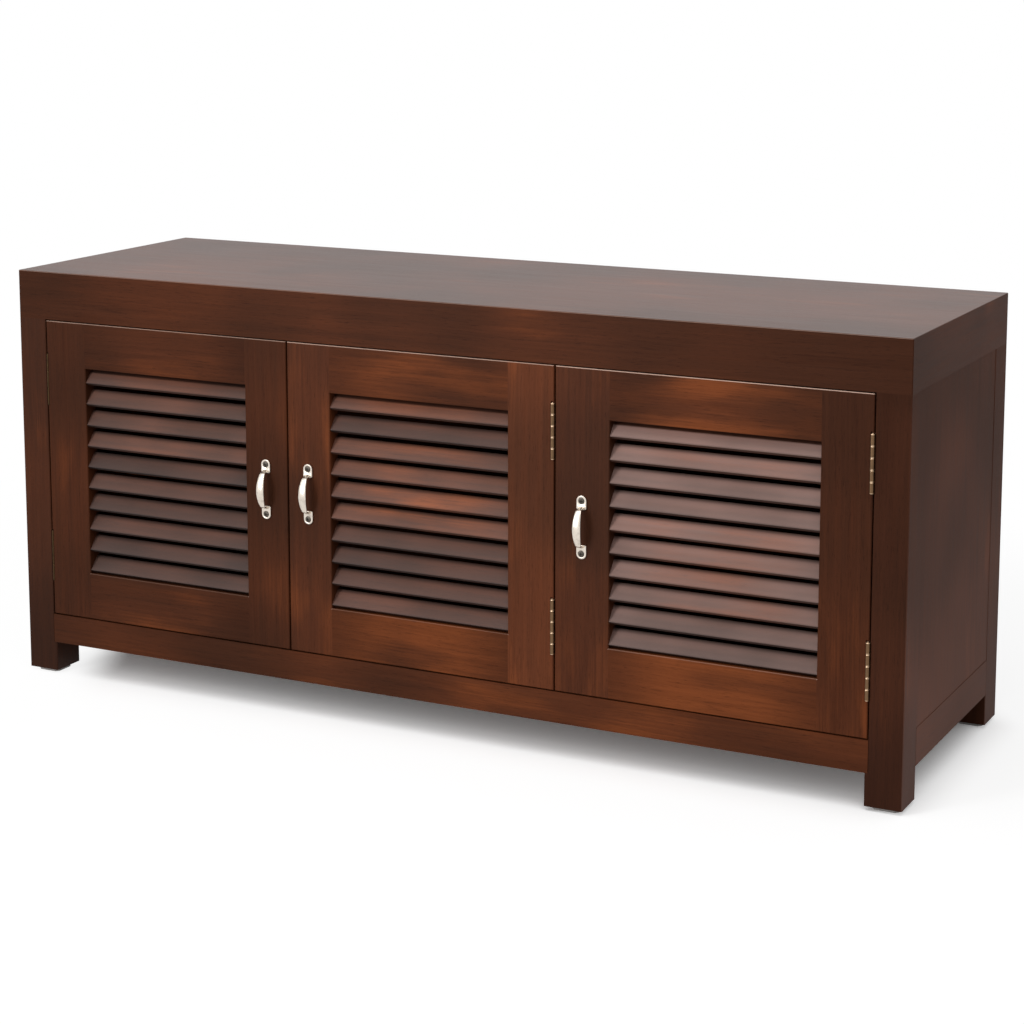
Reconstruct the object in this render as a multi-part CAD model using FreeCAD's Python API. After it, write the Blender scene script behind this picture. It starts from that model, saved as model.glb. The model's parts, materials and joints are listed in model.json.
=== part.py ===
import FreeCAD, Part
import math
import os

# Low three-door cabinet with louvred doors. Millimetres.
# X runs to the right as one faces the doors, Y to the back, Z up.
# The origin is on the floor, in the middle of the whole cabinet, handles included.

Vec = FreeCAD.Vector

# ---- driving dimensions ----------------------------------------------------

# carcass
cabinet_width = 1140.0
cabinet_depth = 360.0          # wooden carcass, without the handles
cabinet_height = 510.0         # glides included
arris = 0.8                    # bevel on the wooden edges
stop_gap = 1.0                 # play between a closed door and its stop

leg_width = 42.0
leg_depth = 45.0
leg_rebate = 3.5               # step in a front leg that takes the doors and the apron
foot_height = 36.5
glide_height = 5.0
glide_size = 30.0
glide_corner = 4.0

cap_height = 59.0              # mitred frame round the top
apron_height = 36.0
low_rail_height = 42.0         # side and rear bottom rails
side_thickness = 18.0
side_reveal = 0.4              # side panels lie this far behind the legs
tongue_thickness = 6.0
tongue_length = 6.0
tenon_thickness = 8.0
tenon_length = 18.0
tenon_shoulder = 10.0
tenon_end_play = 0.5

base_thickness = 15.0
base_housing = 6.0
back_thickness = 6.0
back_inset = 6.0
back_housing = 8.0

wide_bay = 695.5               # from the left post to the partition
partition_thickness = 20.0
stop_rail_thickness = 15.0
stop_rail_drop = 10.0          # how far a stop rail hangs behind the doors

shelf_thickness = 15.0
shelf_level = 190.0            # top of the shelf above the base panel
shelf_setback = 60.0           # from the front of the carcass
shelf_play = 1.0
cleat_size = 15.0

# doors
door_thickness = 20.0
hinge_gap = 1.5                # between a door and the post that carries it
edge_gap = 1.5                 # above and below the doors
meeting_gap = 2.0              # between the left and the middle door
stile_width = 57.0
lap_stile_width = 65.5         # the right door's lock stile, which laps the partition
lap_thickness = 8.0
lap_offset = 0.5               # from the partition's left face to the lapping edge
lap_play = 1.5                 # between the partition and the thick part of that stile
top_rail_height = 56.0
bottom_rail_height = 57.5
opening_chamfer = 0.8

# louvres
slat_count = 10
slat_width = 21.5
slat_thickness = 5.5
slat_bevel = 1.1
slat_slope = 50.0              # degrees, front edge low
slat_top_margin = 1.5          # above the top slat
slat_bottom_margin = 1.5       # below the bottom slat
slat_tenon_width = 14.0
slat_tenon_thickness = 4.0
slat_tenon_length = 8.0

# handles
handle_spacing = 60.0          # between the two screws
handle_projection = 16.5
handle_level = 271.0           # middle of the handle above the floor
handle_plate_width = 12.0
handle_plate_inner = 10.0      # from the screw to the plate's inner end
handle_plate_thickness = 2.4
handle_strap_width = 10.0
handle_strap_end_width = 5.0
handle_strap_thickness = 2.6
handle_bow_radius = 38.0
handle_foot = 24.6             # from the middle of the handle to the bow's outer foot
handle_leg_lean = 20.0         # degrees, between a leg of the bow and the door's normal
handle_shoulder = 5.0          # rounding between a leg and the bow
handle_plate_corner = 2.0
handle_setback_left = 28.5     # from each door's lock edge to the middle of its handle
handle_setback_middle = 27.5
handle_setback_right = 33.0

# butt hinges
hinge_length = 63.5
hinge_inset = 42.0             # from the door's end to the nearer end of the hinge
hinge_leaf_width = 18.0        # from the pin's axis to the leaf's far edge
knuckle_play = 0.25
pin_play = 0.06
pin_grip = 0.01
knuckle_relief = 0.4
pin_end = 1.0                  # the pin stands this far above the barrel

broad_barrel_radius = 2.3      # middle and right door
broad_knuckles = 5
broad_leaf_thickness = 1.2
broad_pin_radius = 1.1
broad_axis_depth = -1.2        # in front of the door's face
slim_barrel_radius = 1.5       # left door
slim_knuckles = 3
slim_leaf_thickness = 0.8
slim_pin_radius = 0.7
slim_axis_depth = 1.2          # behind the door's face

# magnetic catches
catch_width = 40.0
catch_depth = 15.0
catch_height = 14.0
catch_air_gap = 0.3
catch_offset = 40.0            # from a door's lock edge to the middle of its catch
catch_edge = 1.5
strike_width = 30.0
strike_height = 11.0
strike_thickness = 1.0

# ---- places that follow from the dimensions --------------------------------

left = -cabinet_width / 2
right = cabinet_width / 2
front = (handle_projection - cabinet_depth) / 2
back = front + cabinet_depth
foot = glide_height
top = cabinet_height

frame_thickness = door_thickness + stop_gap
cap_bottom = top - cap_height
cap_ceiling = top - frame_thickness
apron_bottom = foot + foot_height
apron_top = apron_bottom + apron_height
low_rail_top = apron_bottom + low_rail_height
leg_back = front + leg_depth
rear_leg_front = back - leg_depth
left_post = left + leg_width - leg_rebate
right_post = right - leg_width + leg_rebate
partition_left = left_post + wide_bay
partition_right = partition_left + partition_thickness
back_panel_front = back - back_inset - back_thickness
side_inner = left + side_reveal + side_thickness

door_bottom = apron_top + edge_gap
door_top = cap_bottom - edge_gap
door_back = front + door_thickness
pair_door_width = (wide_bay - 2 * hinge_gap - meeting_gap) / 2
opening_bottom = door_bottom + bottom_rail_height
opening_top = door_top - top_rail_height

parts = {}


# ---- helpers ---------------------------------------------------------------

def block(x0, x1, y0, y1, z0, z1):
    return Part.makeBox(x1 - x0, y1 - y0, z1 - z0, Vec(x0, y0, z0))


def mirrored(shape):
    """The same piece on the other side of the cabinet."""
    return shape.mirror(Vec(0, 0, 0), Vec(1, 0, 0))


def ease(shape, size, wanted):
    """Take the corner off the edges whose middle point passes the test."""
    edges = [edge for edge in shape.Edges if wanted(edge.CenterOfMass)]
    return shape.makeChamfer(size, edges)


def near(a, b):
    return abs(a - b) < 1e-6


def flat_face(corners):
    return Part.Face(Part.makePolygon(corners + corners[:1]))


def tapered(first, second):
    """Solid between two outlines with the same number of corners, every side flat."""
    count = len(first)
    sides = [flat_face([first[i], first[(i + 1) % count], second[(i + 1) % count], second[i]])
             for i in range(count)]
    shell = Part.makeShell([flat_face(first), flat_face(second)] + sides)
    solid = Part.makeSolid(shell)
    solid.fix(1e-6, 1e-6, 1e-6)
    return solid


# ---- carcass ---------------------------------------------------------------

def side_panel_tongue():
    """Plate whose rim runs in the grooves round the left side panel."""
    middle = left + side_reveal + side_thickness / 2
    return block(middle - tongue_thickness / 2, middle + tongue_thickness / 2,
                 leg_back - tongue_length, rear_leg_front + tongue_length,
                 low_rail_top - tongue_length, cap_bottom + tongue_length)


def side_panel():
    board = block(left + side_reveal, side_inner, leg_back, rear_leg_front, low_rail_top, cap_bottom)
    return board.fuse(side_panel_tongue())


def back_panel():
    return block(left + leg_width - back_housing, right - leg_width + back_housing,
                 back_panel_front, back_panel_front + back_thickness,
                 low_rail_top - back_housing, cap_bottom + back_housing)


def cross_rail(x0, x1, y0, height, play):
    """Rail along X with a tenon at each end; play lengthens the tenons for the mortises."""
    rail = block(x0, x1, y0, y0 + frame_thickness, apron_bottom, apron_bottom + height)
    middle = y0 + frame_thickness / 2
    tenon = block(x0 - tenon_length - play, x1 + tenon_length + play,
                  middle - tenon_thickness / 2, middle + tenon_thickness / 2,
                  apron_bottom + tenon_shoulder, apron_bottom + height - tenon_shoulder)
    return rail.fuse(tenon)


def front_apron(play=0.0):
    return cross_rail(left_post, right_post, front, apron_height, play)


def rear_low_rail(play=0.0):
    return cross_rail(left + leg_width, right - leg_width, back - frame_thickness,
                      low_rail_height, play)


def side_low_rail(play=0.0):
    """Left bottom rail, along Y."""
    rail = block(left, left + frame_thickness, leg_back, rear_leg_front,
                 apron_bottom, low_rail_top)
    middle = left + frame_thickness / 2
    tenon = block(middle - tenon_thickness / 2, middle + tenon_thickness / 2,
                  leg_back - tenon_length - play, rear_leg_front + tenon_length + play,
                  apron_bottom + tenon_shoulder, low_rail_top - tenon_shoulder)
    return rail.fuse(tenon)


def leg_blank(y0, head_y0):
    """Left leg: a full post below the cap and a thinner head inside it."""
    post = block(left, left + leg_width, y0, y0 + leg_depth, foot, cap_bottom)
    post = ease(post, arris, lambda p: near(p.z, (foot + cap_bottom) / 2))
    head = block(left + frame_thickness, left + leg_width,
                 head_y0, head_y0 + leg_depth - frame_thickness, cap_bottom, cap_ceiling)
    return post.fuse(head)


def hinge_relief_in_post(z0):
    """Shallow groove in the left post, so that the slim barrel turns freely."""
    axis_y = front + slim_axis_depth
    reach = slim_barrel_radius + knuckle_relief
    return block(left_post - knuckle_relief, left_post + leg_rebate, front - arris,
                 axis_y + reach, z0, z0 + hinge_length)


def front_leg(reliefs=()):
    leg = leg_blank(front, front + frame_thickness)
    step = block(left_post, left + leg_width, front, front + frame_thickness,
                 apron_bottom, cap_bottom)
    leg = leg.cut(step)
    leg = ease(leg, arris, lambda p: near(p.x, left_post) and near(p.y, front))
    leg = leg.cut(front_apron(tenon_end_play))
    leg = leg.cut(side_low_rail(tenon_end_play))
    leg = leg.cut(side_panel_tongue())
    for relief in reliefs:
        leg = leg.cut(relief)
    return leg


def rear_leg():
    leg = leg_blank(rear_leg_front, rear_leg_front)
    leg = leg.cut(rear_low_rail(tenon_end_play))
    leg = leg.cut(side_low_rail(tenon_end_play))
    leg = leg.cut(side_panel_tongue())
    return leg.cut(back_panel())


def cap_block():
    """Outline of the whole cap with its eased edges, before it is split into boards."""
    whole = block(left, right, front, back, cap_bottom, top)
    middle = (cap_bottom + top) / 2
    return ease(whole, arris, lambda p: near(p.z, top) or near(p.z, middle))


def level_corners(x0, x1, y0, y1, z):
    return [Vec(x0, y0, z), Vec(x1, y0, z), Vec(x1, y1, z), Vec(x0, y1, z)]


def top_wedge():
    """Region of the top board: its four edges are mitred all round."""
    t = frame_thickness
    return tapered(level_corners(left + t, right - t, front + t, back - t, cap_ceiling),
                   level_corners(left, right, front, back, top))


def cap_frame():
    t = frame_thickness
    hollow = block(left + t, right - t, front + t, back - t, cap_bottom, cap_ceiling)
    return cap_block().cut(hollow).cut(top_wedge())


def cap_board(outline):
    """One mitred board of the cap, cut from the frame by its outline in plan."""
    region = flat_face([Vec(x, y, cap_bottom) for x, y in outline]).extrude(Vec(0, 0, cap_height))
    return cap_frame().common(region)


def make_cap():
    t = frame_thickness
    parts["top_panel"] = cap_block().common(top_wedge())
    parts["top_rail_front"] = cap_board([(left, front), (right, front),
                                         (right - t, front + t), (left + t, front + t)])
    rear = cap_board([(left, back), (right, back), (right - t, back - t), (left + t, back - t)])
    parts["top_rail_rear"] = rear.cut(back_panel())
    side = cap_board([(left, front), (left + t, front + t), (left + t, back - t), (left, back)])
    side = side.cut(side_panel_tongue())
    parts["top_rail_left"] = side
    parts["top_rail_right"] = mirrored(side)


def base_blank():
    """Base board with its rims in the grooves of the four bottom rails."""
    reach = frame_thickness - base_housing
    return block(left + reach, right - reach, front + reach, back - reach,
                 apron_top - base_thickness, apron_top)


def leg_zone(x0, y0, play=0.0):
    return block(x0 - play, x0 + leg_width + play, y0 - play, y0 + leg_depth + play, 0, top)


def make_base():
    board = base_blank()
    for x0 in (left, right - leg_width):
        for y0 in (front, rear_leg_front):
            board = board.cut(leg_zone(x0, y0))
    parts["base_panel"] = board


def make_rails_and_legs():
    hinge_starts = hinge_heights()
    reliefs = [hinge_relief_in_post(z0) for z0 in hinge_starts]
    parts["leg_front_left"] = front_leg(reliefs)
    parts["leg_front_right"] = mirrored(front_leg())
    parts["leg_rear_left"] = rear_leg()
    parts["leg_rear_right"] = mirrored(rear_leg())
    parts["apron"] = front_apron().cut(base_blank())
    low_rail = side_low_rail().cut(side_panel_tongue()).cut(base_blank())
    parts["bottom_rail_left"] = low_rail
    parts["bottom_rail_right"] = mirrored(low_rail)
    parts["bottom_rail_rear"] = rear_low_rail().cut(back_panel()).cut(base_blank())
    parts["side_panel_left"] = side_panel()
    parts["side_panel_right"] = mirrored(side_panel())
    parts["back_panel"] = back_panel()


def make_partition():
    board = block(partition_left, partition_right, front + lap_thickness + stop_gap,
                  back_panel_front, apron_top, cap_ceiling)
    cap_front = block(left, right, front, front + frame_thickness, cap_bottom, top)
    cap_rear = block(left, right, back - frame_thickness, back, cap_bottom, top)
    low_rail = block(left, right, back - frame_thickness, back, apron_bottom, low_rail_top)
    parts["partition"] = board.cut(cap_front).cut(cap_rear).cut(low_rail)


def stop_rail(x0, x1):
    y0 = front + frame_thickness
    return block(x0, x1, y0, y0 + stop_rail_thickness, cap_bottom - stop_rail_drop, cap_ceiling)


def shelf(x0, x1):
    level = apron_top + shelf_level
    board = block(x0 + shelf_play, x1 - shelf_play, front + shelf_setback,
                  back_panel_front - shelf_play, level - shelf_thickness, level)
    for leg_x in (left, right - leg_width):
        board = board.cut(leg_zone(leg_x, rear_leg_front, shelf_play))
    return ease(board, arris, lambda p: near(p.y, front + shelf_setback) and not near(
        p.z, level - shelf_thickness / 2))


def cleat(x0):
    z1 = apron_top + shelf_level - shelf_thickness
    return block(x0, x0 + cleat_size, front + shelf_setback, rear_leg_front - shelf_play,
                 z1 - cleat_size, z1)


def make_inside():
    parts["stop_rail_left"] = stop_rail(left + leg_width, partition_left)
    parts["stop_rail_right"] = stop_rail(partition_right, right - leg_width)
    parts["shelf_left"] = shelf(side_inner, partition_left)
    parts["shelf_right"] = shelf(partition_right, -side_inner)
    parts["shelf_cleats"] = Part.makeCompound([
        cleat(side_inner), cleat(partition_left - cleat_size),
        cleat(partition_right), cleat(-side_inner - cleat_size)])


def glide(x_middle, y_middle):
    half = glide_size / 2
    pad = block(x_middle - half, x_middle + half, y_middle - half, y_middle + half, 0, glide_height)
    return ease(pad, glide_corner, lambda p: near(p.z, glide_height / 2))


def make_glides():
    x_side = right - leg_width / 2
    pads = [glide(x, y) for x in (-x_side, x_side)
            for y in (front + leg_depth / 2, back - leg_depth / 2)]
    parts["glides"] = Part.makeCompound(pads)


# ---- butt hinges -----------------------------------------------------------
# A hinge is modelled about its own pin: the frame lies on the +X side, the door on the -X side.

def hinge_heights():
    return (door_bottom + hinge_inset, door_top - hinge_inset - hinge_length)


def knuckle_spans(count):
    height = (hinge_length - (count - 1) * knuckle_play) / count
    return [(i * (height + knuckle_play), i * (height + knuckle_play) + height)
            for i in range(count)]


def hinge_leaf(radius, thickness, bore, spans):
    """Leaf on the +X side with the knuckles that fill the given spans."""
    relief = radius + knuckle_relief
    leaf = block(radius - thickness, radius, relief, hinge_leaf_width, 0, hinge_length)
    for z0, z1 in spans:
        leaf = leaf.fuse(block(radius - thickness, radius, 0, relief, z0, z1))
        leaf = leaf.fuse(Part.makeCylinder(radius, z1 - z0, Vec(0, 0, z0)))
    leaf = leaf.cut(Part.makeCylinder(bore, hinge_length, Vec(0, 0, 0)))
    return leaf.removeSplitter()


def hinge_pin(radius):
    """Plain pin whose upper end stands a little out of the barrel."""
    return Part.makeCylinder(radius, hinge_length + pin_end, Vec(0, 0, 0))


class ButtHinge:
    """The sizes and the place of one door's two hinges."""

    def __init__(self, axis_x, slim, frame_on_right):
        self.radius = slim_barrel_radius if slim else broad_barrel_radius
        self.thickness = slim_leaf_thickness if slim else broad_leaf_thickness
        self.pin_radius = slim_pin_radius if slim else broad_pin_radius
        self.spans = knuckle_spans(slim_knuckles if slim else broad_knuckles)
        self.axis_y = front + (slim_axis_depth if slim else broad_axis_depth)
        self.axis_x = axis_x
        self.frame_on_right = frame_on_right

    def placed(self, shape):
        """Turn a shape to this hinge's hand and set a copy at each of its heights."""
        hand = shape if self.frame_on_right else mirrored(shape)
        return [hand.translated(Vec(self.axis_x, self.axis_y, z0)) for z0 in hinge_heights()]

    def frame_leaves(self):
        return self.placed(hinge_leaf(self.radius, self.thickness, self.pin_radius + pin_grip,
                                      self.spans[0::2]))

    def door_leaves(self):
        return self.placed(mirrored(hinge_leaf(self.radius, self.thickness,
                                               self.pin_radius + pin_play, self.spans[1::2])))

    def pins(self):
        return self.placed(hinge_pin(self.pin_radius))

    def mortises(self):
        """Room for both leaves and the barrel in the edge of the door's stile."""
        front_y = front - self.axis_y - arris
        edge = self.radius - hinge_gap
        seat = block(-self.radius, edge, front_y, hinge_leaf_width, 0, hinge_length)
        relief = self.radius + knuckle_relief
        room = block(-relief, edge, front_y, relief, 0, hinge_length + 2 * pin_end)
        return self.placed(seat.fuse(room).removeSplitter())


# ---- louvres ---------------------------------------------------------------

def slat_levels():
    slope = math.radians(slat_slope)
    rise = slat_width * math.sin(slope) + (slat_thickness - 2 * slat_bevel) * math.cos(slope)
    first = opening_bottom + slat_bottom_margin + rise / 2
    last = opening_top - slat_top_margin - rise / 2
    return [first + i * (last - first) / (slat_count - 1) for i in range(slat_count)]


def tilted(shape, x0, z):
    """Turn a slat section to its slope and set it in the middle of the door's thickness."""
    shape.rotate(Vec(0, 0, 0), Vec(1, 0, 0), slat_slope)
    shape.translate(Vec(x0, front + door_thickness / 2, z))
    return shape


def slat_body(x0, x1, z):
    """Strip along X with bevelled long edges; its front edge is the low one."""
    half = slat_width / 2
    r = slat_thickness / 2
    slat = block(0, x1 - x0, -half, half, -r, r)
    slat = ease(slat, slat_bevel, lambda p: near(abs(p.y), half) and near(abs(p.z), r))
    return tilted(slat, x0, z)


def slat_tenons(x0, x1, z, play=0.0):
    """Stub tenons at both ends of a slat, as one bar through it."""
    reach = slat_tenon_length + play
    bar = block(-reach, x1 - x0 + reach, -slat_tenon_width / 2, slat_tenon_width / 2,
                -slat_tenon_thickness / 2, slat_tenon_thickness / 2)
    return tilted(bar, x0, z)


def louvres(x0, x1):
    return [slat_body(x0, x1, z).fuse(slat_tenons(x0, x1, z)) for z in slat_levels()]


def louvre_housings(x0, x1):
    return [slat_tenons(x0, x1, z, tenon_end_play) for z in slat_levels()]


# ---- handles ---------------------------------------------------------------

def bow_slab(inset):
    """Region between the door's face and the bow, its outline moved inwards by inset."""
    r = handle_plate_width / 2
    lean = math.radians(handle_leg_lean)
    foot_z = handle_foot - inset / math.cos(lean)
    reach = handle_projection + handle_shoulder
    tip_z = foot_z - reach * math.tan(lean)
    corners = [Vec(-r, 0, -foot_z), Vec(-r, -reach, -tip_z), Vec(-r, -reach, tip_z),
               Vec(-r, 0, foot_z), Vec(-r, 0, -foot_z)]
    wedge = Part.Face(Part.makePolygon(corners)).extrude(Vec(handle_plate_width, 0, 0))
    disc = Part.makeCylinder(handle_bow_radius - inset, handle_plate_width,
                             Vec(-r, handle_bow_radius - handle_projection, 0), Vec(1, 0, 0))
    slab = wedge.common(disc)
    shoulders = [e for e in slab.Edges
                 if near(e.BoundBox.ZLength, 0) and near(e.BoundBox.YLength, 0)
                 and e.BoundBox.YMin < -1]
    return slab.makeFillet(handle_shoulder - inset, shoulders)


def bow_profile():
    """Side view of the bow: a shallow arc on two steep legs, even in thickness."""
    return bow_slab(0).cut(bow_slab(handle_strap_thickness))


def leaf_outline():
    """Front view of the strap: widest in the middle, narrow at both feet."""
    half_height = handle_foot
    w_end = handle_strap_end_width / 2
    w = handle_strap_width / 2
    corner = [Vec(-w_end, 0, -half_height), Vec(-w_end, 0, half_height),
              Vec(w_end, 0, half_height), Vec(w_end, 0, -half_height)]
    edges = [Part.Arc(corner[0], Vec(-w, 0, 0), corner[1]).toShape(),
             Part.LineSegment(corner[1], corner[2]).toShape(),
             Part.Arc(corner[2], Vec(w, 0, 0), corner[3]).toShape(),
             Part.LineSegment(corner[3], corner[0]).toShape()]
    return Part.Face(Part.Wire(edges)).extrude(Vec(0, -handle_projection, 0))


def handle_plate():
    """Upper screw plate: a half-round end beyond the screw, eased corners towards the bow."""
    r = handle_plate_width / 2
    z = handle_spacing / 2
    tail = block(-r, r, -handle_plate_thickness, 0, z - handle_plate_inner, z)
    tail = ease(tail, handle_plate_corner,
                lambda p: near(p.z, z - handle_plate_inner) and near(abs(p.x), r))
    disc = Part.makeCylinder(r, handle_plate_thickness, Vec(0, 0, z), Vec(0, -1, 0))
    return tail.fuse(disc)


def handle():
    """Bow with its two plates; the lower plate is the upper one upside down."""
    plate = handle_plate()
    lower_plate = plate.mirror(Vec(0, 0, 0), Vec(0, 0, 1))
    bow = bow_profile().common(leaf_outline())
    return bow.fuse([plate, lower_plate]).removeSplitter()


# ---- doors -----------------------------------------------------------------

class Door:
    """One louvred door: its outline, its stiles and what is fastened to it."""

    def __init__(self, name, x0, x1, left_stile, right_stile, hinge, lock_on_left, setback):
        self.name = name
        self.x0 = x0
        self.x1 = x1
        self.opening_left = x0 + left_stile
        self.opening_right = x1 - right_stile
        self.hinge = hinge
        self.lock_on_left = lock_on_left
        self.inward = 1 if lock_on_left else -1
        self.lock_edge = x0 if lock_on_left else x1
        self.handle_x = self.lock_edge + self.inward * setback
        self.catch_x = self.lock_edge + self.inward * catch_offset

    def slab(self):
        """The whole door with its eased front edges, chamfered round the louvre opening."""
        whole = block(self.x0, self.x1, front, door_back, door_bottom, door_top)
        whole = ease(whole, arris, lambda p: near(p.y, front))
        c = opening_chamfer
        opening = (self.opening_left, self.opening_right, opening_bottom, opening_top)
        return whole.cut(tapered(self.opening_corners(opening, c, front),
                                 self.opening_corners(opening, 0, front + c)))

    def opening_corners(self, opening, grow, y):
        x0, x1, z0, z1 = opening
        return [Vec(x0 - grow, y, z0 - grow), Vec(x1 + grow, y, z0 - grow),
                Vec(x1 + grow, y, z1 + grow), Vec(x0 - grow, y, z1 + grow)]

    def rail(self, z0, z1, play=0.0):
        """Rail between the stiles with a tenon at each end."""
        board = block(self.opening_left, self.opening_right, front, door_back, z0, z1)
        board = board.common(self.slab())
        reach = tenon_length + play
        middle = front + door_thickness / 2
        tenon = block(self.opening_left - reach, self.opening_right + reach,
                      middle - tenon_thickness / 2, middle + tenon_thickness / 2,
                      z0 + tenon_shoulder, z1 - tenon_shoulder)
        return board.fuse(tenon)

    def top_rail(self, play=0.0):
        return self.rail(opening_top, door_top, play)

    def bottom_rail(self, play=0.0):
        return self.rail(door_bottom, opening_bottom, play)

    def stile(self, x0, x1):
        board = block(x0, x1, front, door_back, door_bottom, door_top).common(self.slab())
        cutters = [self.top_rail(tenon_end_play), self.bottom_rail(tenon_end_play)]
        cutters += louvre_housings(self.opening_left, self.opening_right)
        return board.cut(cutters)

    def stiles(self):
        left_stile = self.stile(self.x0, self.opening_left)
        right_stile = self.stile(self.opening_right, self.x1)
        if self.lock_on_left:
            return right_stile, left_stile
        return left_stile, right_stile

    def strike(self):
        """Steel plate on the back of the lock stile, opposite the magnet."""
        middle_z = cap_bottom - stop_rail_drop - catch_height / 2
        half = strike_width / 2
        return block(self.catch_x - half, self.catch_x + half, door_back,
                     door_back + strike_thickness, middle_z - strike_height / 2,
                     middle_z + strike_height / 2)

    def catch(self):
        """Magnet case under the stop rail."""
        z1 = cap_bottom - stop_rail_drop
        y0 = door_back + strike_thickness + catch_air_gap
        half = catch_width / 2
        case = block(self.catch_x - half, self.catch_x + half, y0, y0 + catch_depth,
                     z1 - catch_height, z1)
        return ease(case, catch_edge, lambda p: near(p.z, z1 - catch_height))

    def make(self, lap=None):
        hinge_stile, lock_stile = self.stiles()
        hinge_stile = hinge_stile.cut(self.hinge.mortises())
        if lap is not None:
            lock_stile = lock_stile.cut(lap)
        handle_place = Vec(self.handle_x, front, handle_level)
        pieces = {
            "hinge_stile": hinge_stile,
            "lock_stile": lock_stile,
            "top_rail": self.top_rail(),
            "bottom_rail": self.bottom_rail(),
            "louvres": Part.makeCompound(louvres(self.opening_left, self.opening_right)),
            "handle": handle().translated(handle_place),
            "hinge_leaves": Part.makeCompound(self.hinge.door_leaves()),
            "strike_plate": self.strike(),
        }
        for piece, shape in pieces.items():
            parts[f"{self.name}_door_{piece}"] = shape
        parts[f"{self.name}_frame_hinge_leaves"] = Part.makeCompound(self.hinge.frame_leaves())
        parts[f"{self.name}_hinge_pins"] = Part.makeCompound(self.hinge.pins())


def make_doors():
    left_x0 = left_post + hinge_gap
    left_x1 = left_x0 + pair_door_width
    middle_x0 = left_x1 + meeting_gap
    middle_x1 = middle_x0 + pair_door_width
    right_x0 = partition_left + lap_offset
    right_x1 = right_post - hinge_gap

    left_hinge = ButtHinge(left_post + slim_barrel_radius, True, False)
    middle_hinge = ButtHinge(partition_left - broad_barrel_radius, False, True)
    right_hinge = ButtHinge(right_post - broad_barrel_radius, False, True)

    doors = [
        Door("left", left_x0, left_x1, stile_width, stile_width, left_hinge,
             False, handle_setback_left),
        Door("middle", middle_x0, middle_x1, stile_width, stile_width, middle_hinge,
             True, handle_setback_middle),
        Door("right", right_x0, right_x1, lap_stile_width, stile_width, right_hinge,
             True, handle_setback_right),
    ]
    lap_room = block(right_x0, partition_right + lap_play, front + lap_thickness, door_back,
                     door_bottom, door_top)
    doors[0].make()
    doors[1].make()
    doors[2].make(lap_room)
    parts["magnetic_catches"] = Part.makeCompound([door.catch() for door in doors])


# ---- build and write -------------------------------------------------------

make_rails_and_legs()
make_cap()
make_base()
make_partition()
make_inside()
make_glides()
make_doors()

os.makedirs("parts", exist_ok=True)
for name, shape in parts.items():
    shape.exportStep(f"parts/{name}.step")
print(len(parts), "nodes")
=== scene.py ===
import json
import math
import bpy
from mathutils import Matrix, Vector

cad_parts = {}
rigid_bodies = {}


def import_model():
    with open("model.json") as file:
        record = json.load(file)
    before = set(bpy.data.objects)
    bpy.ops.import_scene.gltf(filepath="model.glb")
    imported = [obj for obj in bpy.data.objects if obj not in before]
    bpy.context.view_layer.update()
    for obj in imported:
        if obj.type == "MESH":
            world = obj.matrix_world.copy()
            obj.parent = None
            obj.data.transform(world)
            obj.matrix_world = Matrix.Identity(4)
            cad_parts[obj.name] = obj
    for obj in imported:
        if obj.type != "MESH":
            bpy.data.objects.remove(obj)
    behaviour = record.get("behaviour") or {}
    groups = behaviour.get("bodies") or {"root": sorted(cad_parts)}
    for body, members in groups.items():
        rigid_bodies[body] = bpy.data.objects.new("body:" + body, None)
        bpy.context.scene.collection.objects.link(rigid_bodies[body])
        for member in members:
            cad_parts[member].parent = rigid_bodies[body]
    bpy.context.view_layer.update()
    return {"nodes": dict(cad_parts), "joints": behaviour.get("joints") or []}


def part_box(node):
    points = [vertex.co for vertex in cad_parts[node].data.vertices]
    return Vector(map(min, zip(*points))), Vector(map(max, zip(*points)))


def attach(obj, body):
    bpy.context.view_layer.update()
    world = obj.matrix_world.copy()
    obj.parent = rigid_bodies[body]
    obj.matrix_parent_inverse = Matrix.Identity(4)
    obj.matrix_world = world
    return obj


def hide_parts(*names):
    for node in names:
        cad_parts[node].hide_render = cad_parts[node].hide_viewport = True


bl_info = {
    "name": "Louvred Door Cabinet",
    "version": (1, 0, 0),
    "blender": (4, 5, 0),
    "location": "3D View > Sidebar > Cabinet",
    "description": "Dresses the cabinet frame: stained boards, louvres, handles, hinges and a stage",
    "category": "Object",
}

from typing import NamedTuple

import bmesh
import bpy
from bpy.props import (
    FloatProperty,
    FloatVectorProperty,
    IntProperty,
    PointerProperty,
)
from mathutils import Vector

for leftover in list(bpy.data.objects):
    bpy.data.objects.remove(leftover)
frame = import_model()

MM = 0.001
DOORS = ("left", "middle", "right")


# ---- node trees ------------------------------------------------------------

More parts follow.
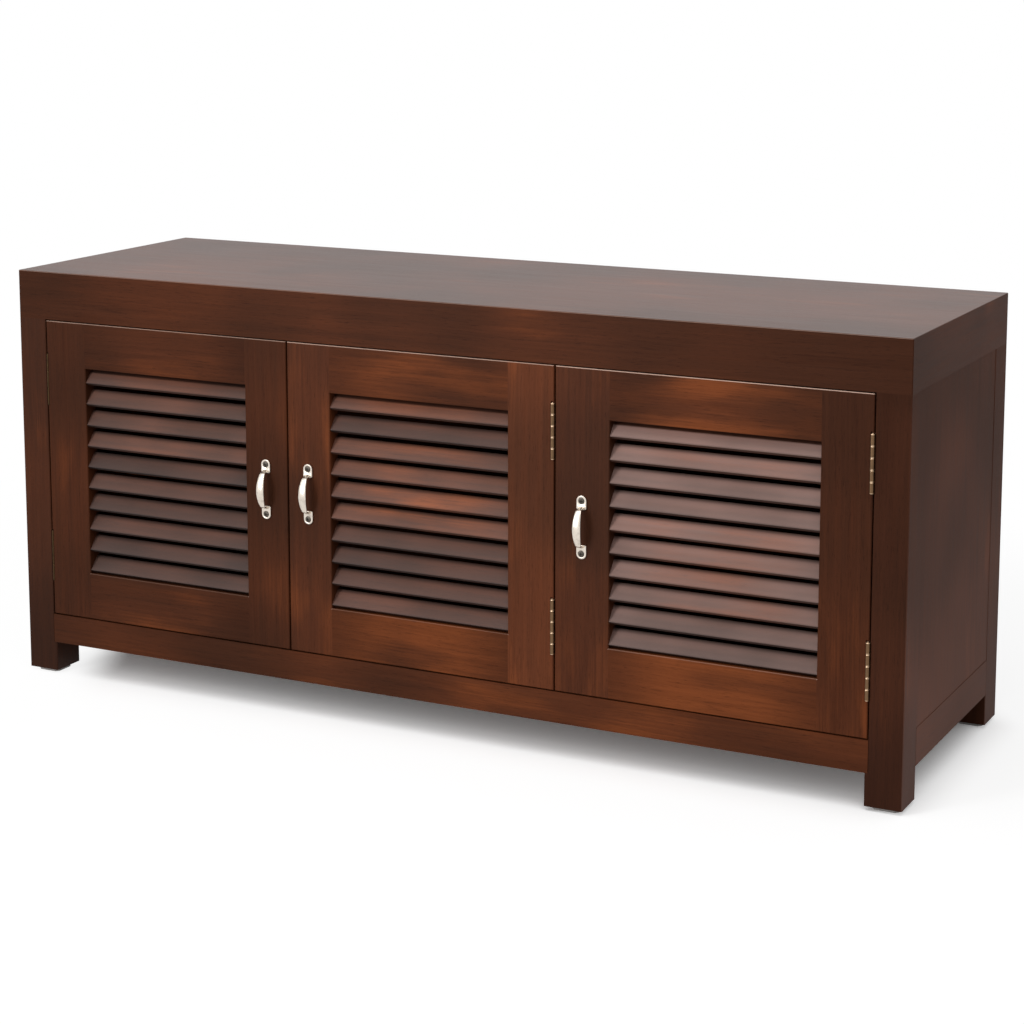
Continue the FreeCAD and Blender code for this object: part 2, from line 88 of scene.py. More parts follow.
class Wire:
    """An output socket of a node tree. Arithmetic on it adds Math or Vector Math nodes."""

    def __init__(self, tree, socket=None):
        self.tree = tree
        self.socket = socket

    def node(self, kind, settings=None, sockets=None, out=0):
        """Add a node: its settings first, then the values or links of its sockets."""
        made = self.tree.nodes.new(kind)
        for key, value in (settings or {}).items():
            setattr(made, key, value)
        for key, value in (sockets or {}).items():
            self._feed(self._find(made.inputs, key), value)
        return Wire(self.tree, self._find(made.outputs, out) if len(made.outputs) else None)

    def _find(self, sockets, key):
        if isinstance(key, int):
            return sockets[key]
        for socket in sockets:
            if socket.identifier == key:
                return socket
        return next(socket for socket in sockets if socket.name == key and socket.enabled)

    def _feed(self, target, value):
        if isinstance(value, (list, tuple)) and value and isinstance(value[0], Wire):
            for one in value:
                self.tree.links.new(one.socket, target)
        elif isinstance(value, Wire):
            self.tree.links.new(value.socket, target)
        else:
            target.default_value = value

    def pick(self, name):
        """Another output of the node that this socket belongs to."""
        return Wire(self.tree, self._find(self.socket.node.outputs, name))

    def maths(self, operation, *values):
        """A Math node, or a Vector Math node where one of the values is a vector or a colour."""
        vector = any(isinstance(v, Wire) and v.socket.type in ("VECTOR", "RGBA") for v in values)
        if not vector:
            return self.node("ShaderNodeMath", {"operation": operation}, dict(enumerate(values)))
        wide = [(v,) * 3 if isinstance(v, (int, float)) else v for v in values]
        return self.node("ShaderNodeVectorMath", {"operation": operation}, dict(enumerate(wide)))

    def __add__(self, other):
        return self.maths("ADD", self, other)

    def __radd__(self, other):
        return self.maths("ADD", other, self)

    def __sub__(self, other):
        return self.maths("SUBTRACT", self, other)

    def __rsub__(self, other):
        return self.maths("SUBTRACT", other, self)

    def __mul__(self, other):
        return self.maths("MULTIPLY", self, other)

    def __rmul__(self, other):
        return self.maths("MULTIPLY", other, self)

    def __truediv__(self, other):
        return self.maths("DIVIDE", self, other)

    def __neg__(self):
        return self.maths("MULTIPLY", self, -1.0)


def vector(start, **axes):
    """A vector from its X, Y and Z; one that isn't given is 0."""
    return start.node("ShaderNodeCombineXYZ", None, axes)


def mixed(mask, first, second):
    """Colour that goes from the first to the second as the mask goes from 0 to 1."""
    first, second = [(*c, 1.0) if isinstance(c, tuple) else c for c in (first, second)]
    return mask.node("ShaderNodeMix", {"data_type": "RGBA"},
                     {"Factor_Float": mask, "A_Color": first, "B_Color": second}, "Result_Color")


def stepped(value, low, high):
    """Smooth mask: 0 below the low value, 1 above the high one."""
    return value.node("ShaderNodeMapRange", {"interpolation_type": "SMOOTHSTEP"},
                      {"Value": value, "From Min": low, "From Max": high})


def noise(place, scale, detail=2.0, roughness=0.5, distortion=0.0):
    return place.node("ShaderNodeTexNoise", {"noise_dimensions": "3D"},
                      {"Vector": place, "Scale": scale, "Detail": detail,
                       "Roughness": roughness, "Distortion": distortion})


def new_material(name):
    """An empty material and the wire that its nodes start from."""
    material = bpy.data.materials.new(name)
    material.use_nodes = True
    material.node_tree.nodes.clear()
    return material, Wire(material.node_tree)


def surface(start, sockets):
    """Principled shader wired to the material's output."""
    shader = start.node("ShaderNodeBsdfPrincipled", None, sockets)
    start.node("ShaderNodeOutputMaterial", None, {"Surface": shader})


def bumped(height, strength, distance):
    return height.node("ShaderNodeBump", None,
                       {"Height": height, "Strength": strength, "Distance": distance}, "Normal")


# ---- finishes --------------------------------------------------------------

GRAIN_TURN = {"x": (0.0, 0.0, 0.0), "y": (0.0, 0.0, -math.pi / 2), "z": (0.0, math.pi / 2, 0.0)}
# how often each pattern of the wood repeats in a metre, along the grain and twice across it
WANDER_SCALE = (2.2, 5.0, 5.0)
PATCH_SCALE = (7.0, 24.0, 24.0)
VEIN_SCALE = (3.4, 70.0, 70.0)
FLECK_SCALE = (26.0, 520.0, 520.0)
STREAK_SCALE = (7.0, 330.0, 330.0)
PORE_SCALE = (90.0, 1500.0, 1500.0)
SLAT_CLOUD_SCALE = (9.0, 14.0, 14.0)
BOARD_CLOUD_SCALE = 5.0
# heights that the stain of the slats goes by: the middle and the half height of the louvres,
# and the step into the shade under the doors' top rails
LOUVRE_MIDDLE = 0.265
LOUVRE_HALF = 0.1282
RAIL_SHADE = (0.3865, 0.3885)


class BoardStain(NamedTuple):
    """How one board is stained.

    The warmth raises the share of orange patches and the depth scales the colour of the whole
    board. The arris share paints a highlight on the arrises that face up and forwards. A burst,
    given by its middle and its half length along X, darkens the toner towards the board's ends.
    The side factor paints light on the face towards +X, more of it towards the floor, and the
    sink darkens a foot. The sheen share paints a grey reflection, which grows down that face.
    """
    grain: str
    seed: int
    warmth: float
    depth: float
    gloss: float = 0.05
    highlit: float = 0.0
    burst: tuple = ()
    side_lighting: float = 0.0
    sink: float = 0.0
    painted_sheen: float = 0.0


class SlatStain(NamedTuple):
    """How the slats of one door are stained.

    The order is the seed of the slats' own random numbers, and the spread is how far those
    part the slats' depths. The light towards the top paints the slats brighter towards the top
    and darker towards the bottom, and the sheen share is grey painted in as a sheen.
    """
    seed: int
    order: int
    warmth: float
    depth: float
    painted_sheen: float
    spread: float
    fade: float


class Wood:
    """Places on a piece of wood and the patterns of its figure, from which it is coloured."""

    def __init__(self, start, grain, seed, slats=False):
        coords = start.node("ShaderNodeTexCoord", None, None, "Object")
        self.where = coords.node("ShaderNodeSeparateXYZ", None, {"Vector": coords})
        self.facing = coords.node("ShaderNodeSeparateXYZ", None, {"Vector": coords.pick("Normal")})
        self.level = self.where.pick("Z")
        shift = (seed * 0.731, seed * 0.417, seed * 0.293)
        place = start.node("ShaderNodeMapping", None,
                           {"Vector": coords, "Location": shift, "Rotation": GRAIN_TURN[grain]})
        if slats:
            self.own = start.node("ShaderNodeAttribute", {"attribute_name": "slat"}, None, "Fac")
            place = place + vector(start, X=self.own * 7.3, Y=self.own * 3.1, Z=self.own * 5.7)
        wander = noise(place * WANDER_SCALE, 1.0, 2.0)
        place = place + (wander.pick("Color") - 0.5) * (0.0, 0.014, 0.014)
        cloud_place = place * SLAT_CLOUD_SCALE if slats else coords * BOARD_CLOUD_SCALE

        self.patch = noise(place * PATCH_SCALE, 1.0, 2.5, 0.5)
        self.cloud = noise(cloud_place, 1.0, 1.5)
        self.vein = noise(place * VEIN_SCALE, 1.0, 3.0, 0.6, 0.5)
        self.fleck = noise(place * FLECK_SCALE, 1.0, 2.0, 0.55)
        self.streak = noise(place * STREAK_SCALE, 1.0, 4.0, 0.62)
        self.pore = noise(place * PORE_SCALE, 1.0, 1.0)

    def warm(self, warmth):
        """Mask of the orange patches."""
        blend = self.patch * 0.56 + self.cloud * 0.32 + self.streak * 0.12
        return stepped(blend, 0.575 - 0.20 * warmth, 0.785 - 0.15 * warmth)

    def side_lighting(self):
        """Mask of the face towards +X, on which light is painted."""
        return stepped(self.facing.pick("X"), 0.5, 0.6)

    def arris(self):
        """Mask of the edges that face up and forwards, on which a highlight is painted."""
        return stepped(self.facing.pick("Z"), 0.5, 0.6) * stepped(-self.facing.pick("Y"), 0.5, 0.6)

    def ends(self, burst):
        """Mask of a burst: 0 in the middle of a board's length, 1 at both ends."""
        middle, half = burst
        off = self.where.pick("X") - middle
        return stepped(off.maths("ABSOLUTE", off), 0.35 * half, half)

    def colour(self, warm, tone):
        """Dark and body stain by the clouds, warm stain on its mask, all at a tone."""
        stain = bpy.context.scene.cabinet_stain
        colour = mixed(stepped(self.cloud * 0.7 + self.vein * 0.3, 0.36, 0.64),
                       tuple(stain.dark), tuple(stain.body))
        colour = mixed(warm, colour, tuple(stain.warm))
        shade = (0.74 + 0.52 * self.streak) * (1.0 - 0.20 * stepped(self.vein, 0.52, 0.74))
        shade = shade * (1.0 - 0.18 * stepped(self.fleck, 0.60, 0.72))
        shade = shade * (1.0 - 0.28 * stepped(self.pore, 0.60, 0.72))
        return colour * (shade * tone)

    def painted_sheen(self, share):
        """Mask of the painted sheen, thicker where the clouds are."""
        return share * (0.3 + 1.4 * self.cloud)

    def finish(self, start, colour, roughness, gloss):
        """Satin surface with fine streaks and open pores."""
        grooves = 1.0 - stepped(self.pore, 0.58, 0.72)
        relief = self.streak * 0.6 + grooves * 0.5 + self.vein * 0.3
        surface(start, {
            "Base Color": colour,
            "Roughness": roughness - 0.06 + 0.14 * self.streak,
            "Specular IOR Level": gloss,
            "Normal": bumped(relief, 0.30, 0.00025),
        })


def stained_board(name, board):
    """Dark stained hardwood for one board."""
    stain = bpy.context.scene.cabinet_stain
    material, start = new_material(name)
    wood = Wood(start, board.grain, board.seed)
    warm, tone = wood.warm(board.warmth), board.depth
    # Painted light: the face towards +X is made lighter, more so towards the floor
    if board.side_lighting:
        tone = tone * (1.0 + wood.side_lighting() * (board.side_lighting * (1.02 - wood.level * 0.55) - 1.0))
    if board.sink:
        tone = tone * (1.0 - board.sink * (1.0 - stepped(wood.level, 0.05, 0.17)))
    if board.burst:
        ends = wood.ends(board.burst)
        warm = warm * (1.0 - 0.75 * ends)
        tone = tone * (1.06 - 0.20 * ends)
    colour = wood.colour(warm, tone)
    # Painted reflection: grey mixed into the colour, growing down the face towards +X
    if board.painted_sheen:
        painted_sheen = wood.painted_sheen(board.painted_sheen) * (1.0 + 6.0 * wood.side_lighting() * (1.0 - 2.0 * wood.level))
        colour = mixed(painted_sheen, colour, tuple(stain.sheen_colour))
    # Painted highlight: a light colour on the arrises that face up and forwards
    if board.highlit:
        colour = mixed(wood.arris() * board.highlit, colour, tuple(stain.highlit))
    wood.finish(start, colour, stain.roughness, board.gloss)
    return material


def stained_slats(name, slats, nose, back, burst):
    """Dark stained hardwood for one door's slats.

    The nose and the back are where the edges of a slat's upper face lie along Y.
    """
    stain = bpy.context.scene.cabinet_stain
    louvres = bpy.context.scene.cabinet_louvres
    material, start = new_material(name)
    wood = Wood(start, "x", slats.seed, slats=True)
    ends = wood.ends(burst)
    # Painted shade on the faces that look down, and a painted shadow on the top slat under the rail
    underside_shade = stepped(-wood.facing.pick("Z"), 0.25, 0.55)
    rail_shadow = stepped(wood.level, *RAIL_SHADE)
    # Painted light: the slats brighter towards the top and darker towards the bottom
    light_by_height = 1.0 + slats.fade * (wood.level - LOUVRE_MIDDLE) / LOUVRE_HALF
    warm = wood.warm(slats.warmth) * stepped(wood.own, 0.25, 0.95) * (1.0 - 0.75 * ends)
    tone = slats.depth * (1.0 + slats.spread * (wood.own - 0.5)) * light_by_height * (1.06 - 0.20 * ends)
    tone = tone * (1.0 - 0.65 * underside_shade) * (1.0 - 0.75 * rail_shadow)
    # Painted sheen: grey standing in for the lamps' reflections on the slats
    painted_sheen = wood.painted_sheen(slats.painted_sheen) * (1.0 + 0.5 * slats.spread * (wood.own - 0.5)) * light_by_height
    painted_sheen = painted_sheen * (1.0 - underside_shade) * (1.0 - rail_shadow) * (1.0 - 0.6 * warm)
    colour = mixed(painted_sheen, wood.colour(warm, tone), tuple(stain.sheen_colour))
    # Painted light and shade across each slat: darker at the nose, lighter towards the back, and a
    # painted shadow at the back edge under the slat above
    across = (wood.where.pick("Y") - nose) / (back - nose)
    colour = colour * (0.6 + 0.4 * stepped(across, 0.0, 0.10))
    colour = colour * (1.0 + 0.6 * stepped(across, 0.30, 0.75))
    colour = colour * (1.0 - 0.75 * stepped(across, 0.74, 1.0))
    wood.finish(start, colour, louvres.roughness, louvres.gloss)
    return material


def brushed_metal(name, tint, rough, lines_along, wear, worn_tint=(0.2, 0.2, 0.2), rim=None):
    """Metal with fine lines along one axis and soft blotches of wear.

    A rim colour is a painted glint on the faces that lean up or down.
    """
    material, start = new_material(name)
    place = start.node("ShaderNodeTexCoord", None, None, "Object")
    lines = {"x": (60.0, 2600.0, 2600.0), "z": (2600.0, 2600.0, 60.0)}[lines_along]
    brush = noise(place * lines, 1.0, 2.0)
    cloud = noise(place, 160.0, 3.0)
    colour = mixed(stepped(cloud, 0.45, 0.75) * wear, tint, worn_tint)
    colour = colour * (0.90 + 0.2 * brush)
    # Painted glint: the rim colour on faces that lean up or down
    if rim:
        lean = place.node("ShaderNodeSeparateXYZ", None, {"Vector": place.pick("Normal")}, "Z")
        colour = mixed(stepped(lean.maths("ABSOLUTE", lean), 0.12, 0.25), colour, rim)
    surface(start, {
        "Base Color": colour,
        "Metallic": 1.0,
        "Roughness": rough - 0.05 + 0.10 * brush + 0.12 * wear * stepped(cloud, 0.4, 0.7),
        "Normal": bumped(brush, 0.12, 0.00003),
    })
    return material


def moulded_plastic(name, tint, rough):
    """Pebbled plastic, a little darker where it is scuffed."""
    material, start = new_material(name)
    place = start.node("ShaderNodeTexCoord", None, None, "Object")
    pebble = noise(place, 1400.0, 3.0, 0.6)
    scuff = noise(place * (1.0, 1.0, 3.0), 120.0, 3.0)
    scuffed = tuple(c * 0.82 for c in tint)
    surface(start, {
        "Base Color": mixed(stepped(scuff, 0.35, 0.65), scuffed, tint),
        "Roughness": rough - 0.06 + 0.12 * pebble,
        "Normal": bumped(pebble, 0.25, 0.00008),
    })
    return material


def dress(node, material):
    """Give a CAD node its material."""
    piece = frame["nodes"][node]
    if not piece.material_slots:
        piece.data.materials.append(material)
    for place in piece.material_slots:
        place.material = material


# ---- pieces made by geometry nodes -----------------------------------------

def new_tree(name, inputs):
    """A geometry tree with named inputs; returns it and one wire for each input."""
    tree = bpy.data.node_groups.new(name, "GeometryNodeTree")
    tree.interface.new_socket("Geometry", in_out="INPUT", socket_type="NodeSocketGeometry")
    tree.interface.new_socket("Geometry", in_out="OUTPUT", socket_type="NodeSocketGeometry")
    for label, kind in inputs.items():
        tree.interface.new_socket(label, in_out="INPUT", socket_type="NodeSocket" + kind)
    entry = tree.nodes.new("NodeGroupInput")
    return tree, {socket.name: Wire(tree, socket) for socket in entry.outputs if socket.name}


def moved(shape, **sockets):
    """A shape after its Translation or its Rotation."""
    return shape.node("GeometryNodeTransform", None, {"Geometry": shape, **sockets})


def joined(first, *others):
    return first.node("GeometryNodeJoinGeometry", None, {"Geometry": [first, *others]})


def welded(shape):
    return shape.node("GeometryNodeMergeByDistance", None, {"Geometry": shape, "Distance": 1e-6})


def turned(angles):
    """The rotation that the angles of a vector stand for."""
    return angles.node("FunctionNodeEulerToRotation", None, {0: angles})


def set_out(part, places, **sockets):
    """Copies of a part on points."""
    return part.node("GeometryNodeInstanceOnPoints", None,
                     {"Points": places, "Instance": part, **sockets})


def end_tree(shape, material, crease=40.0):
    """Smooth the round faces, realise the copies, set the material and close the tree."""
    shape = shape.node("GeometryNodeRealizeInstances", None, {"Geometry": shape})
    angle = shape.node("GeometryNodeInputMeshEdgeAngle")
    sharp = shape.node("FunctionNodeCompare", {"operation": "GREATER_THAN"},
                       {"A": angle, "B": math.radians(crease)})
    shape = shape.node("GeometryNodeSetShadeSmooth", {"domain": "FACE"},
                       {"Geometry": shape, "Shade Smooth": True})
    shape = shape.node("GeometryNodeSetShadeSmooth", {"domain": "EDGE"},
                       {"Geometry": shape, "Selection": sharp, "Shade Smooth": False})
    shape = shape.node("GeometryNodeSetMaterial", None, {"Geometry": shape, "Material": material})
    shape.node("NodeGroupOutput", None, {0: shape})


def grown(outline, length):
    """Closed bar: a flat outline in the XY plane drawn out along Z."""
    flat = outline.node("GeometryNodeFillCurve", {"mode": "NGONS"}, {"Curve": outline})
    lifted = flat.node("GeometryNodeExtrudeMesh", {"mode": "FACES"},
                       {"Mesh": flat, "Offset Scale": length, "Individual": False})
    bottom = flat.node("GeometryNodeFlipFaces", None, {"Mesh": flat})
    return welded(joined(lifted, bottom))


def rounded_outline(width, height, radius, steps):
    outline = width.node("GeometryNodeCurvePrimitiveQuadrilateral", {"mode": "RECTANGLE"},
                         {"Width": width, "Height": height})
    return outline.node("GeometryNodeFilletCurve", {"mode": "POLY"},
                        {"Curve": outline, "Count": steps, "Radius": radius})


def run_tree(name, tree, values, points=((0.0, 0.0, 0.0),), facings=None):
    """Run a tree on loose points and keep its result as a plain mesh object."""
    seedbed = bpy.data.meshes.new(name + "_points")
    seedbed.from_pydata([tuple(p) for p in points], [], [])
    if facings:
        facing = seedbed.attributes.new("facing", "FLOAT_VECTOR", "POINT")
        facing.data.foreach_set("vector", [c for f in facings for c in f])
    holder = bpy.data.objects.new(name + "_holder", seedbed)
    bpy.context.scene.collection.objects.link(holder)
    modifier = holder.modifiers.new("Build", "NODES")
    modifier.node_group = tree
    for item in tree.interface.items_tree:
        if item.in_out == "INPUT" and item.name in values:
            modifier[item.identifier] = values[item.name]
    graph = bpy.context.evaluated_depsgraph_get()
    mesh = bpy.data.meshes.new_from_object(holder.evaluated_get(graph))
    bpy.data.objects.remove(holder)
    bpy.data.meshes.remove(seedbed)
    return place_mesh(name, mesh)


def place_mesh(name, mesh):
    mesh.name = name
    piece = bpy.data.objects.new(name, mesh)
    bpy.context.scene.collection.objects.link(piece)
    return piece


def louvre_tree():
    """Slats set out upwards from the first one, each with its own random number."""
    tree, given = new_tree("Louvre slats", {
        "Count": "Int", "Pitch": "Float", "Length": "Float", "Width": "Float",
        "Thickness": "Float", "Nose Radius": "Float", "Slope": "Float", "Seed": "Int",
        "Material": "Material"})
    outline = rounded_outline(given["Width"], given["Thickness"], given["Nose Radius"], 6)
    bar = moved(grown(outline, given["Length"]), Rotation=(0.0, math.pi / 2, 0.0))
    bar = moved(bar, Rotation=turned(vector(bar, X=given["Slope"] - math.pi / 2)))
    ladder = bar.node("GeometryNodeMeshLine", {"mode": "OFFSET"},
                      {"Count": given["Count"], "Offset": vector(bar, Z=given["Pitch"])})
    copies = set_out(bar, ladder)
    own = bar.node("FunctionNodeRandomValue", {"data_type": "FLOAT"},
                   {"Seed": given["Seed"]}, "Value_001")
    copies = copies.node("GeometryNodeStoreNamedAttribute",
                         {"data_type": "FLOAT", "domain": "INSTANCE"},
                         {"Geometry": copies, "Name": "slat", "Value": own})
    end_tree(set_out(copies, given["Geometry"]), given["Material"])
    return tree


def knuckle(given):
    """One barrel joint with a chamfer at each end, centred on its height."""
    height = given["Knuckle Height"]
    edge = given["Chamfer"]
    radius = given["Radius"]
    sides, ease = 32, 0.4
    tube = radius.node("GeometryNodeMeshCylinder", {"fill_type": "NONE"}, {
        "Vertices": sides, "Radius": radius, "Depth": height - 2.0 * edge})
    cap = radius.node("GeometryNodeMeshCone", {"fill_type": "NGON"}, {
        "Vertices": sides, "Radius Top": radius - edge * ease, "Radius Bottom": radius,
        "Depth": edge})
    cap = cap.node("GeometryNodeDeleteGeometry", {"domain": "FACE"},
                   {"Geometry": cap, "Selection": cap.pick("Bottom")})
    upper = moved(cap, Translation=vector(cap, Z=height * 0.5 - edge))
    lower = moved(upper, Rotation=(math.pi, 0.0, 0.0))
    return welded(joined(tube, upper, lower))


def hinge_leaf_tree():
    """A leaf and every second knuckle of a butt hinge, set at each of its places."""
    tree, given = new_tree("Hinge leaf", {
        "Length": "Float", "Leaf Width": "Float", "Thickness": "Float", "Corner": "Float",
        "Radius": "Float", "Chamfer": "Float", "Knuckles": "Int", "First": "Int",
        "Knuckle Height": "Float", "Knuckle Pitch": "Float", "Turn": "Float",
        "Material": "Material"})
    radius, thickness, pitch = given["Radius"], given["Thickness"], given["Knuckle Pitch"]
    knuckle_play, web_lap = 0.4 * MM, 0.05 * MM
    inset = radius + knuckle_play
    width = given["Leaf Width"] - inset
    sheet = grown(rounded_outline(width, given["Length"], given["Corner"], 4), thickness)
    sheet = moved(sheet, Rotation=(math.pi / 2, 0.0, math.pi / 2))
    sheet = moved(sheet, Translation=vector(sheet, X=radius - thickness, Y=inset + width * 0.5))

    size = vector(sheet, X=thickness, Y=inset, Z=given["Knuckle Height"])
    web = sheet.node("GeometryNodeMeshCube", None, {"Size": size})
    web = moved(web, Translation=vector(web, X=radius - thickness * 0.5, Y=inset * 0.5 + web_lap))
    joint = joined(knuckle(given), web)

    rungs = given["Knuckles"].node("FunctionNodeIntegerMath", {"operation": "SUBTRACT"},
                                   {0: given["Knuckles"], 1: given["First"]})
    rungs = (rungs + 1.0) * 0.5
    rungs = rungs.node("FunctionNodeFloatToInt", {"rounding_mode": "FLOOR"}, {0: rungs})
    low = (given["First"] - (given["Knuckles"] - 1.0) * 0.5) * pitch
    stack = joint.node("GeometryNodeMeshLine", {"mode": "OFFSET"}, {
        "Count": rungs, "Start Location": vector(joint, Z=low),
        "Offset": vector(joint, Z=pitch * 2.0)})
    leaf = joined(sheet, set_out(joint, stack))
    leaf = leaf.node("GeometryNodeGeometryToInstance", None, {"Geometry": [leaf]})
    placed = set_out(leaf, given["Geometry"], Rotation=turned(vector(leaf, Y=given["Turn"])))
    end_tree(placed, given["Material"], 15.0)
    return tree


def scatter_tree():
    """Copies of a small part on the given points, each turned to its point's facing."""
    tree, given = new_tree("Set small parts", {
        "Part": "Object", "Size": "Float", "Material": "Material"})
    part = given["Part"].node("GeometryNodeObjectInfo", None, {"Object": given["Part"]}, "Geometry")
    facing = part.node("GeometryNodeInputNamedAttribute", {"data_type": "FLOAT_VECTOR"},
                       {"Name": "facing"})
    turn = part.node("FunctionNodeAlignRotationToVector", {"axis": "Z"}, {"Vector": facing})
    size = vector(part, X=given["Size"], Y=given["Size"], Z=given["Size"])
    copies = set_out(part, given["Geometry"], Rotation=turn, Scale=size)
    end_tree(copies, given["Material"])
    return tree


# ---- mesh helpers ----------------------------------------------------------

def ring(shape, points):
    return [shape.verts.new(p) for p in points]


def bridge(shape, first, second):
    """Quads between two rings with the same number of points."""
    count = len(first)
    for i in range(count):
        j = (i + 1) % count
        shape.faces.new((first[i], first[j], second[j], second[i]))


def finish_mesh(shape, crease=40.0):
    """Point the faces outwards, smooth them and keep the sharp edges."""
    bmesh.ops.recalc_face_normals(shape, faces=shape.faces)
    for face in shape.faces:
        face.smooth = True
    for edge in shape.edges:
        edge.smooth = len(edge.link_faces) == 2 and edge.calc_face_angle() < math.radians(crease)
    mesh = bpy.data.meshes.new("piece")
    shape.to_mesh(mesh)
    shape.free()
    return mesh


def round_angles(steps):
    return [2 * math.pi * i / steps for i in range(steps)]


def skin(shape, rings):
    """Quads between the rings in their order, and a lid at each end."""
    for first, second in zip(rings, rings[1:]):
        bridge(shape, first, second)
    shape.faces.new(rings[0])
    shape.faces.new(rings[-1])


def screw_head():
    """Cross-recessed raised screw head of unit radius, its top towards +Z."""
    arm, half = 0.56, 0.13
    cross_levels = ((0.55, -0.16), (1.0, 0.16))
    dome = ((0.80, 0.13), (0.93, 0.06), (1.0, -0.04), (0.97, -0.12), (0.55, -0.55))
    angles = round_angles(48)

    def cross(t, size):
        """Where the edge of the cross recess lies in one direction."""
        c = max(abs(math.cos(t)), 1e-6)
        s = max(abs(math.sin(t)), 1e-6)
        reach = max(min(arm / c, half / s), min(half / c, arm / s)) * size
        return reach * math.cos(t), reach * math.sin(t)

    shape = bmesh.new()
    rings = [ring(shape, [(*cross(t, size), z) for t in angles]) for size, z in cross_levels]
    for radius, z in dome:
        rings.append(ring(shape, [(radius * math.cos(t), radius * math.sin(t), z) for t in angles]))
    skin(shape, rings)
    return place_mesh("screw_head", finish_mesh(shape))


def rod_mesh(radius, low, high, crown):
    """Upright pin with a domed top, about the Z axis."""
    shape = bmesh.new()
    levels = [(radius, low), (radius, high - crown)]
    levels += [(radius * math.cos(a), high - crown + crown * math.sin(a))
               for a in (0.35, 0.7, 1.05, 1.35)]
    skin(shape, [ring(shape, [(r * math.cos(t), r * math.sin(t), z) for t in round_angles(28)])
                 for r, z in levels])
    return shape


# ---- settings --------------------------------------------------------------

def colour_setting(name, description, default):
    """A colour that the user can change."""
    return FloatVectorProperty(name=name, description=description, default=default,
                               subtype="COLOR", size=3, min=0.0, max=1.0)


def share_setting(name, description, default):
    """A number from 0 to 1 that the user can change."""
    return FloatProperty(name=name, description=description, default=default, min=0.0, max=1.0)


def length_setting(name, description, default):
    """A length that the user can change."""
    return FloatProperty(name=name, description=description, default=default, unit="LENGTH")


class CabinetStain(bpy.types.PropertyGroup):
    """Colours and finish of the boards"""
    dark: colour_setting("Dark stain", "Colour of the darkest wood", (0.052, 0.0172, 0.0079))
    body: colour_setting("Body stain", "Colour of most of the wood", (0.090, 0.0262, 0.0106))
    warm: colour_setting("Warm stain", "Colour of the orange patches", (0.175, 0.047, 0.0144))
    # Grey that is mixed in as a painted sheen on the slats and the right-hand boards
    sheen_colour: colour_setting("Pale stain", "Colour where the stain is thin", (0.385, 0.272, 0.245))
    # Colour of the painted highlight on the arrises that face up and forwards
    highlit: colour_setting("Rubbed edge", "Colour of the rubbed arrises", (0.63, 0.43, 0.34))
    roughness: share_setting("Roughness", "Roughness of the satin finish", 0.38)


class CabinetLouvres(bpy.types.PropertyGroup):
    """Slats of the doors"""
    count: IntProperty(
        name="Slats", description="Number of slats in each door", min=1, default=10)
    width: length_setting("Slat width", "From nose to back edge of a slat", 21.5 * MM)
    thickness: length_setting("Slat thickness", "Thickness of a slat", 5.5 * MM)
    nose: length_setting("Nose radius", "Rounding of a slat's long edges", 0.7 * MM)
    slope: FloatProperty(
        name="Slope", description="Angle of a slat above the horizontal",
        subtype="ANGLE", default=math.radians(50))
    housing: length_setting("Housing", "How far a slat runs into each stile", 2.0 * MM)
    gloss: share_setting("Gloss", "Strength of the slats' reflections", 0.35)
    roughness: share_setting("Roughness", "Roughness of the slats' finish", 0.52)


class CabinetHandles(bpy.types.PropertyGroup):
    """Bow handles and their screws"""
    spacing: length_setting("Spacing", "Distance between a handle's two screws", 60.0 * MM)
    plate_width: length_setting("Plate width", "Width of the screw plates", 12.0 * MM)
    plate_thickness: length_setting("Plate thickness", "Thickness of the screw plates", 2.4 * MM)
    plate_inner: length_setting("Plate inner end", "From the screw to the plate's inner end", 10.0 * MM)
    projection: length_setting("Projection", "How far the bow stands off the door", 16.5 * MM)
    bow_radius: length_setting("Bow radius", "Radius of the bow's outer face", 38.0 * MM)
    foot: length_setting("Foot", "From the handle's middle to the outer foot of a leg", 24.6 * MM)
    leg_lean: FloatProperty(
        name="Leg lean", description="Angle between a leg and the door's normal",
        subtype="ANGLE", default=math.radians(20))
    shoulder: length_setting("Shoulder", "Rounding between a leg and the bow", 5.0 * MM)
    strap_width: length_setting("Bow width", "Width of the bow in its middle", 10.0 * MM)
    strap_end: length_setting("Bow end width", "Width of the bow at its feet", 5.0 * MM)
    strap_thickness: length_setting("Bow thickness", "Thickness of the bow", 2.6 * MM)
    nickel: colour_setting("Nickel", "Colour of the satin nickel", (0.745, 0.67, 0.585))
    screw: colour_setting("Screw", "Colour of the handle screws", (0.080, 0.070, 0.060))


class CabinetHinges(bpy.types.PropertyGroup):
    """Butt hinges of the doors"""
    length: length_setting("Length", "Length of a hinge along its pin", 63.5 * MM)
    leaf_width: length_setting("Leaf width", "From the pin's axis to the leaf's far edge", 18.0 * MM)
    gap: length_setting("Knuckle gap", "Play between two knuckles", 0.25 * MM)
    chamfer: length_setting("Knuckle rim", "Height of the eased rim at each end of a knuckle", 0.9 * MM)
    screw_line: length_setting("Screw line", "From the pin's axis to the screws", 13.7 * MM)
    screw_spacing: length_setting("Screw spacing", "Distance between the screws of a leaf", 21.0 * MM)
    screw_radius: length_setting("Screw radius", "Radius of a hinge screw's head", 2.3 * MM)
    brass: colour_setting("Brass", "Colour of the brass", (0.168, 0.099, 0.053))
    # Colour of the painted glints on the ends of the knuckles
    rim: colour_setting("Knuckle rim colour", "Colour of the bright knuckle rims", (0.56, 0.40, 0.265))
    # Darker brass for the left door's hinges, which hardly show
    left_brass: colour_setting("Bronze", "Colour of the left door's dull hinges", (0.060, 0.034, 0.016))


